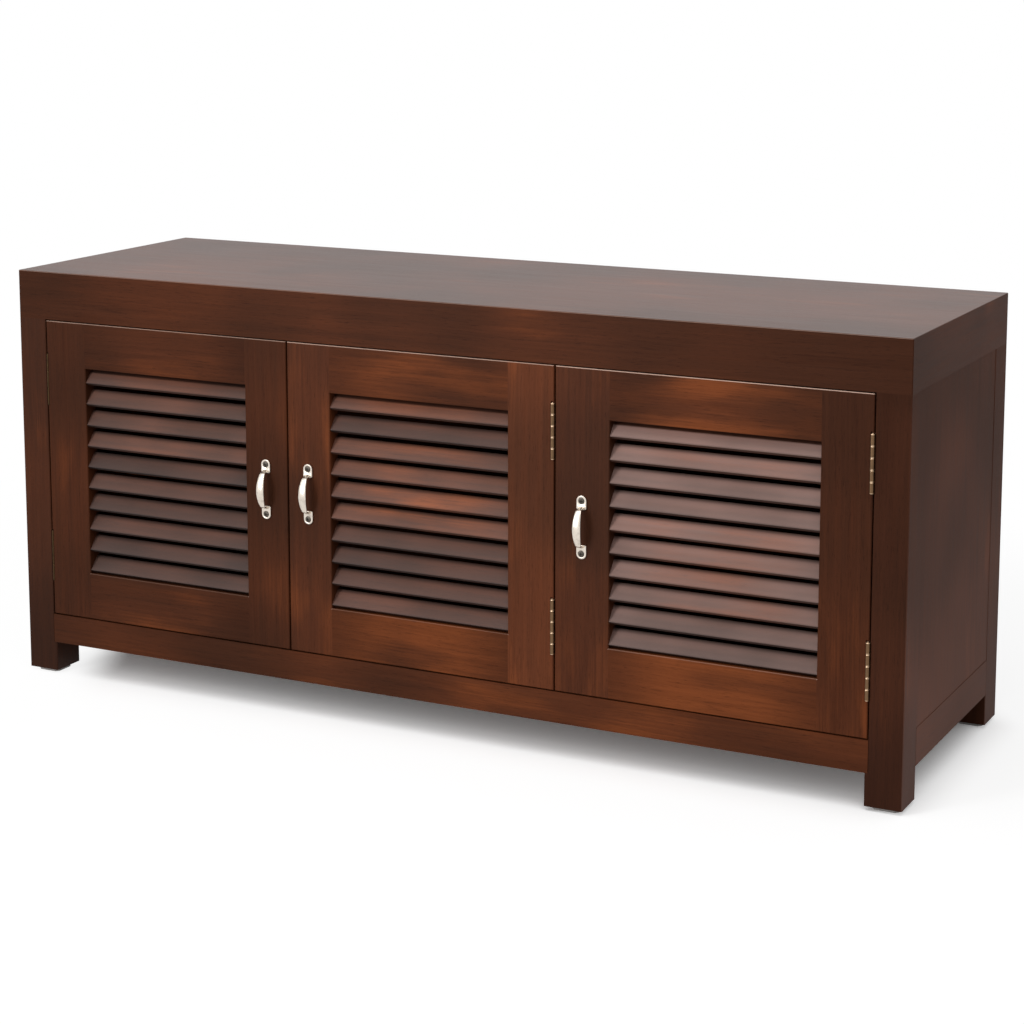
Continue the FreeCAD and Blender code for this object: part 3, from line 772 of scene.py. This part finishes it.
class CabinetFittings(bpy.types.PropertyGroup):
    """Glides, catches and strike plates"""
    glide: colour_setting("Glide", "Colour of the floor glides", (0.43, 0.405, 0.39))
    catch: colour_setting("Catch", "Colour of the catch cases", (0.055, 0.032, 0.020))
    steel: colour_setting("Steel", "Colour of the strike plates and magnets", (0.55, 0.55, 0.54))


class CabinetStage(bpy.types.PropertyGroup):
    """Floor, light and camera"""
    floor: share_setting("Floor colour", "Grey level of the floor", 0.80)
    gain: FloatProperty(
        name="Floor gain", description="How much brighter the camera sees the lit floor",
        min=0.0, default=1.75)
    glow: share_setting("Floor glow", "Share of plain white that the camera sees in the floor", 0.06)
    ambient: FloatProperty(
        name="Ambient", description="Strength of the light from all round", min=0.0, default=0.42)
    top_light: FloatProperty(
        name="Top light", description="Power of the lamp above", unit="POWER", default=20.0)
    side_light: FloatProperty(
        name="Left light", description="Power of the lamp on the left", unit="POWER", default=30.0)
    lens: FloatProperty(
        name="Lens", description="Focal length on a 36 mm sensor", unit="CAMERA", default=84.09)


SETTINGS = {
    "cabinet_stain": CabinetStain,
    "cabinet_louvres": CabinetLouvres,
    "cabinet_handles": CabinetHandles,
    "cabinet_hinges": CabinetHinges,
    "cabinet_fittings": CabinetFittings,
    "cabinet_stage": CabinetStage,
}


# ---- operators -------------------------------------------------------------

# In these tables the side factor paints light on the faces towards +X, the sheen share paints a grey
# reflection and the arris share paints a highlight on the arrises that face up and forwards
CARCASS_BOARDS = {
    "leg_front_left": BoardStain("z", 1, 0.05, 0.76, gloss=0.07, sink=0.22),
    "leg_front_right": BoardStain("z", 2, 0.05, 0.75, gloss=0.006, side_lighting=1.80, sink=0.44, painted_sheen=0.022),
    "leg_rear_left": BoardStain("z", 3, 0.15, 0.90, gloss=0.02),
    "leg_rear_right": BoardStain("z", 4, 0.12, 0.95, gloss=0.006, side_lighting=1.33, sink=0.30, painted_sheen=0.020),
    "top_panel": BoardStain("x", 5, 0.10, 1.25, gloss=0.24),
    "top_rail_front": BoardStain("x", 6, 0.24, 0.94, highlit=0.34, burst=(0.22, 0.66)),
    "top_rail_rear": BoardStain("x", 7, 0.10, 1.25, gloss=0.24),
    "top_rail_left": BoardStain("y", 8, 0.15, 0.95, gloss=0.10),
    "top_rail_right": BoardStain("y", 9, 0.12, 1.00, gloss=0.012, side_lighting=1.38),
    "apron": BoardStain("x", 10, 0.50, 1.00, highlit=0.23, burst=(0.12, 0.56)),
    "bottom_rail_left": BoardStain("y", 11, 0.25, 0.95, gloss=0.01),
    "bottom_rail_right": BoardStain("y", 12, 0.12, 1.00, gloss=0.006, side_lighting=1.28, painted_sheen=0.020),
    "bottom_rail_rear": BoardStain("x", 13, 0.25, 0.95),
    "side_panel_left": BoardStain("z", 14, 0.25, 1.00, gloss=0.02),
    "side_panel_right": BoardStain("z", 15, 0.12, 1.00, gloss=0.006, side_lighting=1.38, painted_sheen=0.020),
    "back_panel": BoardStain("x", 16, 0.20, 0.90),
    "base_panel": BoardStain("x", 17, 0.25, 0.95),
    "partition": BoardStain("z", 18, 0.25, 0.95),
    "stop_rail_left": BoardStain("x", 19, 0.25, 0.90),
    "stop_rail_right": BoardStain("x", 20, 0.25, 0.90),
    "shelf_left": BoardStain("x", 21, 0.25, 1.00, gloss=0.08),
    "shelf_right": BoardStain("x", 22, 0.25, 1.00, gloss=0.08),
    "shelf_cleats": BoardStain("y", 23, 0.25, 0.95),
}
DOOR_BOARDS = {
    "left_door_hinge_stile": BoardStain("z", 31, 0.15, 0.81, highlit=0.46),
    "left_door_lock_stile": BoardStain("z", 32, 0.25, 0.86, highlit=0.46),
    "left_door_top_rail": BoardStain("x", 53, 0.40, 0.80, highlit=0.46, burst=(-0.367, 0.125)),
    "left_door_bottom_rail": BoardStain("x", 34, 0.40, 0.92, highlit=0.08, burst=(-0.367, 0.125)),
    "middle_door_hinge_stile": BoardStain("z", 35, 0.25, 1.45, highlit=0.65),
    "middle_door_lock_stile": BoardStain("z", 36, 0.20, 0.95, gloss=0.06, highlit=0.71),
    "middle_door_top_rail": BoardStain("x", 37, 0.75, 0.93, highlit=0.71, burst=(0.025, 0.160)),
    "middle_door_bottom_rail": BoardStain("x", 38, 1.20, 0.94, highlit=0.10, burst=(-0.006, 0.130)),
    "right_door_hinge_stile": BoardStain("z", 39, 0.30, 0.94, highlit=0.90),
    "right_door_lock_stile": BoardStain("z", 40, 0.25, 0.96, gloss=0.07, highlit=0.90),
    "right_door_top_rail": BoardStain("x", 41, 0.90, 1.08, highlit=0.90, burst=(0.362, 0.135)),
    "right_door_bottom_rail": BoardStain("x", 42, 1.30, 1.04, highlit=0.16, burst=(0.355, 0.128)),
}
# Each door's slats, with their painted light towards the top and their painted sheen
DOOR_SLATS = {
    "left": SlatStain(53, 5116, 0.65, 0.80, painted_sheen=0.078, spread=0.9, fade=0.0),
    "middle": SlatStain(61, 13230, 0.85, 1.16, painted_sheen=0.082, spread=0.8, fade=0.05),
    "right": SlatStain(57, 6458, 0.85, 1.25, painted_sheen=0.33, spread=0.4, fade=0.24),
}


class CABINET_OT_boards(bpy.types.Operator):
    """Stain every board of the carcass and of the doors"""
    bl_idname = "cabinet.boards"
    bl_label = "Boards"

    def execute(self, context):
        for node, board in {**CARCASS_BOARDS, **DOOR_BOARDS}.items():
            dress(node, stained_board("stain_" + node, board))
        return {"FINISHED"}


class CABINET_OT_louvres(bpy.types.Operator):
    """Make the slats of the three doors"""
    bl_idname = "cabinet.louvres"
    bl_label = "Louvres"

    def execute(self, context):
        made = context.scene.cabinet_louvres
        tree = louvre_tree()
        cad_bevel = 1.1 * MM
        cad_tenon = 8.0 * MM
        rise = (made.width * math.sin(made.slope)
                + (made.thickness - 2 * cad_bevel) * math.cos(made.slope))
        face = Vector((-made.thickness * math.sin(made.slope), made.width * math.cos(made.slope))) / 2
        inset = cad_tenon - made.housing
        for door, stain in DOOR_SLATS.items():
            node = f"{door}_door_louvres"
            low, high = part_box(node)
            start = Vector((low.x + inset, (low.y + high.y) / 2, low.z + rise / 2))
            nose = start.y + face.x - face.y
            back = start.y + face.x + face.y
            burst = ((low.x + high.x) / 2, (high.x - low.x) / 2 - cad_tenon)
            slats = run_tree(f"{door}_slats", tree, {
                "Count": made.count,
                "Pitch": (high.z - low.z - rise) / (made.count - 1),
                "Length": high.x - low.x - 2 * inset,
                "Width": made.width,
                "Thickness": made.thickness,
                "Nose Radius": made.nose,
                "Slope": made.slope,
                "Seed": stain.order,
                "Material": stained_slats(f"slats_{door}", stain, nose, back, burst),
            }, [start])
            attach(slats, f"{door}_door")
            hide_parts(node)
        return {"FINISHED"}


def handle_shape(sizes, x, face, level):
    """Bow pull: an arched strap that grows out of two round-ended screw plates."""
    shape = bmesh.new()
    half_spacing = sizes.spacing / 2
    thick = sizes.plate_thickness
    sag = (sizes.strap_width - sizes.strap_end) / 2
    leaf = (sizes.foot ** 2 + sag ** 2) / (2 * sag)
    squareness = 0.72
    half_thick = sizes.strap_thickness / 2
    rings = []
    for z, depth, normal in bow_line(sizes):
        half_width = sizes.strap_width / 2 - (leaf - math.sqrt(max(leaf ** 2 - z ** 2, 0.0)))
        points = []
        for a in round_angles(24):
            u = math.copysign(abs(math.cos(a)) ** squareness, math.cos(a)) * half_width
            v = math.copysign(abs(math.sin(a)) ** squareness, math.sin(a)) * half_thick
            points.append((x + u, face - depth - v * normal.y, level + z + v * normal.x))
        rings.append(ring(shape, points))
    skin(shape, rings)

    outline = plate_outline(sizes)
    soft = 0.7 * MM
    sink_radius, hole_radius, sink_depth = 4.0 * MM, 1.7 * MM, 1.5 * MM
    lip = 0.12 * MM
    profile = [(0.0, 0.0), (0.0, thick - soft), (0.08 * soft, thick - 0.62 * soft),
               (0.30 * soft, thick - 0.30 * soft), (0.62 * soft, thick - 0.08 * soft),
               (soft, thick)]
    for flip in (1, -1):
        rings = [[(p * (1 - inset / p.length), rise) for p in outline] for inset, rise in profile]
        for radius, rise in ((sink_radius, thick), (sink_radius - 1.25 * lip, thick - lip),
                             (hole_radius, thick - sink_depth), (hole_radius, 0.0)):
            rings.append([(p.normalized() * radius, rise) for p in outline])
        loops = [ring(shape, [(x + p.x, face - rise, level + flip * (half_spacing + p.y))
                              for p, rise in points]) for points in rings]
        for first, second in zip(loops, loops[1:] + loops[:1]):
            bridge(shape, first, second)
    return finish_mesh(shape, 50.0)


def bow_line(sizes):
    """Stations along the middle of the strap: height, depth off the door, outward normal."""
    half = sizes.strap_thickness / 2
    lean = sizes.leg_lean
    along = Vector((-math.sin(lean), math.cos(lean)))
    inwards = Vector((-math.cos(lean), -math.sin(lean)))
    foot = Vector((sizes.foot - half / math.cos(lean), 0.0))
    bow = sizes.bow_radius - half
    bend = sizes.shoulder - half
    hub = Vector((0.0, sizes.projection - sizes.bow_radius))
    start = foot + inwards * bend - hub
    lift = -start.dot(along) + math.sqrt(
        start.dot(along) ** 2 - start.length_squared + (bow - bend) ** 2)
    turn_hub = foot + along * lift + inwards * bend
    swing = (turn_hub - hub).normalized()
    shoulder_steps, bow_steps = 9, 12
    line = [(foot + along * lift * t, -inwards) for t in (0.12, 0.3, 0.5, 0.7, 0.85, 1.0)]
    for i in range(1, shoulder_steps + 1):
        normal = (-inwards).lerp(swing, i / shoulder_steps).normalized()
        line.append((turn_hub + normal * bend, normal))
    for i in range(1, bow_steps + 1):
        normal = swing.lerp(Vector((0.0, 1.0)), i / bow_steps).normalized()
        line.append((hub + normal * bow, normal))
    upper = [(p.x, p.y, n) for p, n in line]
    return upper + [(-z, depth, Vector((-n.x, n.y))) for z, depth, n in reversed(upper[:-1])]


def arc(hub, radius, start, swing, steps):
    """Points of a round stretch, both of its ends among them."""
    angles = [start + swing * i / steps for i in range(steps + 1)]
    return [hub + radius * Vector((math.cos(a), math.sin(a))) for a in angles]


def between(first, last, steps):
    """Points of a straight stretch without its ends."""
    return [first.lerp(last, i / steps) for i in range(1, steps)]


def plate_outline(sizes):
    """Outline of the upper screw plate about its screw: round above, eased corners below."""
    half = sizes.plate_width / 2
    corner = 2.0 * MM
    across, low = half - corner, corner - sizes.plate_inner
    crown = arc(Vector((0.0, 0.0)), half, 0.0, math.pi, 28)
    left = arc(Vector((-across, low)), corner, math.pi, math.pi / 2, 6)
    right = arc(Vector((across, low)), corner, math.pi * 1.5, math.pi / 2, 6)
    return (crown + between(crown[-1], left[0], 4) + left + between(left[-1], right[0], 5)
            + right + between(right[-1], crown[0], 4))


class CABINET_OT_handles(bpy.types.Operator):
    """Make the bow handles and their screws"""
    bl_idname = "cabinet.handles"
    bl_label = "Handles"

    def execute(self, context):
        sizes = context.scene.cabinet_handles
        nickel = brushed_metal("satin_nickel", tuple(sizes.nickel), 0.27, "z", 0.5, (0.36, 0.31, 0.27))
        dark = brushed_metal("burnished_screw", tuple(sizes.screw), 0.42, "x", 0.5, (0.14, 0.12, 0.10))
        head_radius = 3.75 * MM
        head_lift = 0.1 * MM
        head = screw_head()
        tree = scatter_tree()
        for door in DOORS:
            low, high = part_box(f"{door}_door_handle")
            x, level = (low.x + high.x) / 2, (low.z + high.z) / 2
            pull = place_mesh(f"{door}_pull", handle_shape(sizes, x, high.y, level))
            pull.data.materials.append(nickel)
            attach(pull, f"{door}_door")
            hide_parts(f"{door}_door_handle")
            seat = high.y - sizes.plate_thickness + head_lift
            spots = [(x, seat, level + s * sizes.spacing / 2) for s in (1, -1)]
            screws = run_tree(f"{door}_pull_screws", tree, {
                "Part": head, "Size": head_radius, "Material": dark},
                spots, [(0.0, -1.0, 0.0)] * len(spots))
            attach(screws, f"{door}_door")
        bpy.data.objects.remove(head)
        return {"FINISHED"}


class HingeKind(NamedTuple):
    """Sizes of a door's hinges; the side is 1 where the frame leaf is towards +X, or -1."""
    radius: float
    leaf_thickness: float
    pin_radius: float
    knuckles: int
    side: int


DOOR_HINGES = {
    "left": HingeKind(1.5 * MM, 0.8 * MM, 0.7 * MM, 3, -1),
    "middle": HingeKind(2.3 * MM, 1.2 * MM, 1.1 * MM, 5, 1),
    "right": HingeKind(2.3 * MM, 1.2 * MM, 1.1 * MM, 5, 1),
}


class CABINET_OT_hinges(bpy.types.Operator):
    """Make the butt hinges, their pins and their screws"""
    bl_idname = "cabinet.hinges"
    bl_label = "Hinges"

    def execute(self, context):
        sizes = context.scene.cabinet_hinges
        # The rim colour paints glints on the knuckles' ends
        aged = brushed_metal("aged_brass", tuple(sizes.brass), 0.34, "z", 0.7, (0.12, 0.074, 0.040),
                             tuple(sizes.rim))
        dull = brushed_metal("left_hinge_brass", tuple(sizes.left_brass), 0.45, "z", 0.7, (0.04, 0.022, 0.012))
        leaf_tree = hinge_leaf_tree()
        small_tree = scatter_tree()
        head = screw_head()
        leaf_corner = 0.8 * MM
        head_sink = 0.02 * MM
        pin_rise = 1.0 * MM
        for door, kind in DOOR_HINGES.items():
            # The left door's hinges take the darker brass
            brass = dull if door == "left" else aged
            joint = next(j for j in frame["joints"] if j["child"] == f"{door}_door")
            axis = Vector(joint["pos_m"])
            low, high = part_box(f"{door}_frame_hinge_leaves")
            middles = [low.z + sizes.length / 2, high.z - sizes.length / 2]
            height = (sizes.length - (kind.knuckles - 1) * sizes.gap) / kind.knuckles
            places = [(axis.x, axis.y, z) for z in middles]
            for owner, first, hand, body in (("frame", 0, kind.side, "carcass"),
                                             ("door", 1, -kind.side, f"{door}_door")):
                node = f"{door}_{owner}_hinge_leaves"
                leaves = run_tree(f"{door}_{owner}_leaves", leaf_tree, {
                    "Length": sizes.length,
                    "Leaf Width": sizes.leaf_width,
                    "Thickness": kind.leaf_thickness,
                    "Corner": leaf_corner,
                    "Radius": kind.radius,
                    "Chamfer": sizes.chamfer,
                    "Knuckles": kind.knuckles,
                    "First": first,
                    "Knuckle Height": height,
                    "Knuckle Pitch": height + sizes.gap,
                    "Turn": 0.0 if hand > 0 else math.pi,
                    "Material": brass,
                }, places)
                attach(leaves, body)
                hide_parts(node)
                leaf_face = axis.x + hand * (kind.radius - kind.leaf_thickness - head_sink)
                spots = [(leaf_face, axis.y + sizes.screw_line, z + step * sizes.screw_spacing)
                         for z in middles for step in (-1, 0, 1)]
                screws = run_tree(f"{door}_{owner}_leaf_screws", small_tree, {
                    "Part": head, "Size": sizes.screw_radius, "Material": brass},
                    spots, [(-hand, 0.0, 0.0)] * len(spots))
                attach(screws, body)
            shape = bmesh.new()
            for z in middles:
                rod = rod_mesh(kind.pin_radius, z - sizes.length / 2,
                               z + sizes.length / 2 + pin_rise, kind.pin_radius * 0.6)
                bmesh.ops.translate(rod, verts=rod.verts, vec=(axis.x, axis.y, 0.0))
                part = bpy.data.meshes.new("pin")
                rod.to_mesh(part)
                rod.free()
                shape.from_mesh(part)
                bpy.data.meshes.remove(part)
            pins = place_mesh(f"{door}_pins", finish_mesh(shape))
            pins.data.materials.append(brass)
            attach(pins, "carcass")
            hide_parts(f"{door}_hinge_pins")
        bpy.data.objects.remove(head)
        return {"FINISHED"}


class CABINET_OT_fittings(bpy.types.Operator):
    """Finish the glides, the catches and the strike plates"""
    bl_idname = "cabinet.fittings"
    bl_label = "Glides and catches"

    def execute(self, context):
        colours = context.scene.cabinet_fittings
        dress("glides", moulded_plastic("glide_plastic", tuple(colours.glide), 0.5))
        dress("magnetic_catches", moulded_plastic("catch_plastic", tuple(colours.catch), 0.45))
        steel = brushed_metal("zinc_plate", tuple(colours.steel), 0.36, "x", 0.4)
        for door in DOORS:
            dress(f"{door}_door_strike_plate", steel)
        return {"FINISHED"}


class CABINET_OT_stage(bpy.types.Operator):
    """Make the floor, the light and the camera"""
    bl_idname = "cabinet.stage"
    bl_label = "Stage"

    def execute(self, context):
        scene = context.scene
        sizes = scene.cabinet_stage
        scene.view_settings.view_transform = "Standard"
        self.floor(sizes)
        self.world(scene, sizes)
        self.lamp("lamp_top", (0.35, -1.1, 2.2), (0.1, -0.1, 0.3), (2.5, 1.7), sizes.top_light)
        self.lamp("lamp_left", (-1.1, -2.4, 1.15), (0.0, -0.17, 0.3), (0.7, 1.7), sizes.side_light)
        self.camera(scene, sizes)
        return {"FINISHED"}

    def seen(self, start):
        """1 for rays that come from the camera or a reflection, 0 for the light on surfaces."""
        path = start.node("ShaderNodeLightPath", None, None, "Is Camera Ray")
        through = path.maths("MAXIMUM", path.pick("Is Glossy Ray"), path.pick("Is Transmission Ray"))
        return path.maths("MAXIMUM", path, through)

    def floor(self, sizes):
        """Pale floor that fades to white away from the cabinet and keeps its shadow."""
        material, start = new_material("studio_floor")
        seen = self.seen(start)
        place = start.node("ShaderNodeTexCoord", None, None, "Object") * (1.0, 1.0, 0.0)
        oval = place * (1.0, 1.25, 0.0)
        away = stepped(oval.maths("LENGTH", oval).pick("Value"), 0.9, 1.5)
        beyond = place.maths("ABSOLUTE", place) - (0.525, 0.15, 0.0)
        beyond = beyond.maths("MAXIMUM", beyond, 0.0)
        beside = stepped(beyond.maths("LENGTH", beyond).pick("Value"), 0.0, 0.09)
        # Painted light: the floor's shadow is lightened near the left foot
        towards_left_foot = place.maths("DOT_PRODUCT", place, (-1.0, -0.4, 0.0)).pick("Value")
        left_foot_light = stepped(towards_left_foot, 0.515, 0.585)
        shaded = (1.0 - sizes.glow) * (1.0 - 0.8 * beside) * (1.0 - away) * (1.0 - 0.85 * left_foot_light)
        tone = sizes.floor + seen * (sizes.floor * (sizes.gain - 1.0))
        paint = start.node("ShaderNodeBsdfDiffuse", None, {
            "Color": start.node("ShaderNodeCombineColor", None, {0: tone, 1: tone, 2: tone})})
        white = start.node("ShaderNodeEmission", None, {"Color": (1.0, 1.0, 1.0, 1.0), "Strength": 1.0})
        both = start.node("ShaderNodeMixShader", None, {0: seen * (1.0 - shaded), 1: paint, 2: white})
        start.node("ShaderNodeOutputMaterial", None, {"Surface": both})
        shape = bmesh.new()
        bmesh.ops.create_grid(shape, x_segments=1, y_segments=1, size=30.0)
        floor = place_mesh("floor", finish_mesh(shape))
        floor.data.materials.append(material)

    def world(self, scene, sizes):
        """Even light from all round, in front of a background that the camera sees as white."""
        world = bpy.data.worlds.new("studio")
        world.use_nodes = True
        world.node_tree.nodes.clear()
        start = Wire(world.node_tree)
        white = start.node("ShaderNodeBackground", None,
                           {"Color": (1.0, 1.0, 1.0, 1.0), "Strength": 1.0})
        light = start.node("ShaderNodeBackground", None,
                           {"Color": (1.0, 1.0, 1.0, 1.0), "Strength": sizes.ambient})
        both = start.node("ShaderNodeMixShader", None, {0: self.seen(start), 1: light, 2: white})
        start.node("ShaderNodeOutputWorld", None, {"Surface": both})
        scene.world = world

    def lamp(self, name, place, target, size, power):
        """A rectangular lamp at a place, aimed at a target."""
        data = bpy.data.lights.new(name, "AREA")
        data.shape = "RECTANGLE"
        data.size, data.size_y = size
        data.energy = power
        lamp = bpy.data.objects.new(name, data)
        lamp.location = place
        lamp.rotation_euler = (Vector(target) - Vector(place)).to_track_quat("-Z", "Y").to_euler()
        bpy.context.scene.collection.objects.link(lamp)

    def camera(self, scene, sizes):
        """Camera to the right of the doors, a little above the top."""
        data = bpy.data.cameras.new("camera")
        data.sensor_width = 36.0
        data.lens = sizes.lens
        data.shift_y = -0.2
        camera = bpy.data.objects.new("camera", data)
        camera.location = (1.28769, -2.50333, 0.91390)
        pitch, turn = -0.1532, 0.4674
        camera.rotation_euler = (math.pi / 2 + pitch, 0.0, turn)
        scene.collection.objects.link(camera)
        scene.camera = camera


class CABINET_PT_panel(bpy.types.Panel):
    """The cabinet's pieces and their settings"""
    bl_idname = "CABINET_PT_panel"
    bl_label = "Louvred door cabinet"
    bl_space_type = "VIEW_3D"
    bl_region_type = "UI"
    bl_category = "Cabinet"

    def draw(self, context):
        for operator in OPERATORS:
            self.layout.operator(operator.bl_idname)
        for name, group in SETTINGS.items():
            box = self.layout.box()
            box.label(text=group.__name__)
            for setting in group.__annotations__:
                box.prop(getattr(context.scene, name), setting)


OPERATORS = (CABINET_OT_boards, CABINET_OT_louvres, CABINET_OT_handles, CABINET_OT_hinges,
             CABINET_OT_fittings, CABINET_OT_stage)


def register():
    for group in SETTINGS.values():
        bpy.utils.register_class(group)
    for name, group in SETTINGS.items():
        setattr(bpy.types.Scene, name, PointerProperty(type=group))
    for operator in OPERATORS:
        bpy.utils.register_class(operator)
    bpy.utils.register_class(CABINET_PT_panel)


def unregister():
    bpy.utils.unregister_class(CABINET_PT_panel)
    for operator in reversed(OPERATORS):
        bpy.utils.unregister_class(operator)
    for name in SETTINGS:
        delattr(bpy.types.Scene, name)
    for group in reversed(SETTINGS.values()):
        bpy.utils.unregister_class(group)


def main():
    register()
    bpy.ops.cabinet.boards()
    bpy.ops.cabinet.louvres()
    bpy.ops.cabinet.handles()
    bpy.ops.cabinet.hinges()
    bpy.ops.cabinet.fittings()
    bpy.ops.cabinet.stage()


if __name__ == "__main__":
    main()
